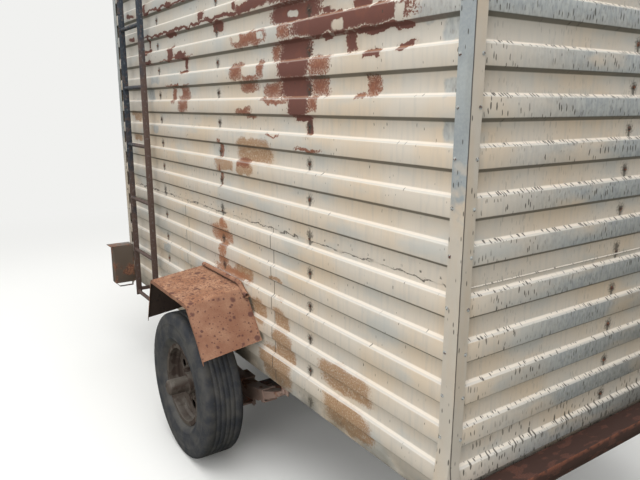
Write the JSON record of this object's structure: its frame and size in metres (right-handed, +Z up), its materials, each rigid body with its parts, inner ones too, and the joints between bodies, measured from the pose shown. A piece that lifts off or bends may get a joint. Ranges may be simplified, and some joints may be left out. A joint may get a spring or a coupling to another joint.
{
  "type": "military field kitchen trailer",
  "caption": "Single-axle box trailer of a field kitchen: ribbed sheet body, side ladder, mudguards, serving hatch, entry door, prop leg and tow eye.",
  "frame": {"origin": "on the ground under the middle of the whole trailer", "axes": "+X towards the tow eye, +Y towards the side with the ladder, +Z up"},
  "size_m": [4.79, 2.404, 3.152],
  "materials": {
    "cladding_paint": "worn matt paint over ribbed sheet",
    "galvanised_sheet": "dull weathered zinc",
    "plywood_floor": "matt",
    "range_steel": "satin",
    "chassis_paint": "worn matt",
    "spring_steel": "rusty matt",
    "rusty_plate": "rusty matt",
    "ladder_paint": "worn satin",
    "tyre_rubber": "worn matt"
  },
  "bodies": {
    "trailer_body": {"wall_left": "cladding_paint", "wall_right": "cladding_paint", "wall_rear": "cladding_paint", "wall_front": "cladding_paint", "flashing_rear_left": "galvanised_sheet", "flashing_rear_right": "galvanised_sheet", "flashing_front_left": "galvanised_sheet", "flashing_front_right": "galvanised_sheet", "roof_panel": "galvanised_sheet", "floor_panel": "plywood_floor", "cooking_range": "range_steel", "flue_inner": "range_steel", "flue_pipe": "galvanised_sheet", "roof_vent": "galvanised_sheet", "chassis_rail_left": "chassis_paint", "chassis_rail_right": "chassis_paint", "cross_members": "chassis_paint", "rear_beam": "rusty_plate", "drawbar_arm_left": "chassis_paint", "drawbar_arm_right": "chassis_paint", "drawbar_head": "chassis_paint", "tow_eye": "chassis_paint", "prop_bracket": "chassis_paint", "axle_beam": "chassis_paint", "leaf_spring_left": "spring_steel", "leaf_spring_right": "spring_steel", "spring_hangers": "chassis_paint", "spring_clamp_left": "chassis_paint", "spring_clamp_right": "chassis_paint", "mudguard_left": "rusty_plate", "mudguard_right": "rusty_plate", "ladder_rails": "ladder_paint", "ladder_rungs": "ladder_paint", "ladder_brackets": "ladder_paint", "corner_box_left": "rusty_plate", "corner_box_right": "rusty_plate", "door_frame": "galvanised_sheet", "hatch_frame": "galvanised_sheet", "shelf_brackets": "galvanised_sheet", "door_step": "chassis_paint"},
    "wheel_left": {"tyre_left": "tyre_rubber", "rim_left": "rusty_plate", "hub_and_drum_left": "chassis_paint"},
    "wheel_right": {"tyre_right": "tyre_rubber", "rim_right": "rusty_plate", "hub_and_drum_right": "chassis_paint"},
    "door": {"door_leaf": "cladding_paint", "door_handle": "ladder_paint"},
    "hatch": {"hatch_flap": "cladding_paint"},
    "shelf": {"counter_shelf": "cladding_paint"},
    "prop": {"prop_leg": "chassis_paint", "prop_foot": "chassis_paint"}
  },
  "joints": [
    {"name": "wheel_left_spin", "type": "hinge", "parent": "trailer_body", "child": "wheel_left", "pos_m": [-0.592, 1.042, 0.4], "axis": [0, 1, 0], "continuous": true},
    {"name": "wheel_right_spin", "type": "hinge", "parent": "trailer_body", "child": "wheel_right", "pos_m": [-0.592, -1.042, 0.4], "axis": [0, 1, 0], "continuous": true},
    {"name": "door_hinge", "type": "hinge", "parent": "trailer_body", "child": "door", "pos_m": [0.944, -0.863, 1.52], "axis": [0, 0, 1], "range_deg": [0, 105]},
    {"name": "hatch_hinge", "type": "hinge", "parent": "trailer_body", "child": "hatch", "pos_m": [-1.615, -0.863, 2.031], "axis": [-1, 0, 0], "range_deg": [0, 100]},
    {"name": "shelf_hinge", "type": "hinge", "parent": "trailer_body", "child": "shelf", "pos_m": [-1.615, -0.868, 1.267], "axis": [-1, 0, 0], "range_deg": [0, 90]},
    {"name": "prop_hinge", "type": "hinge", "parent": "trailer_body", "child": "prop", "pos_m": [2.03, 0, 0.417], "axis": [0, 1, 0], "range_deg": [0, 90]}
  ]
}
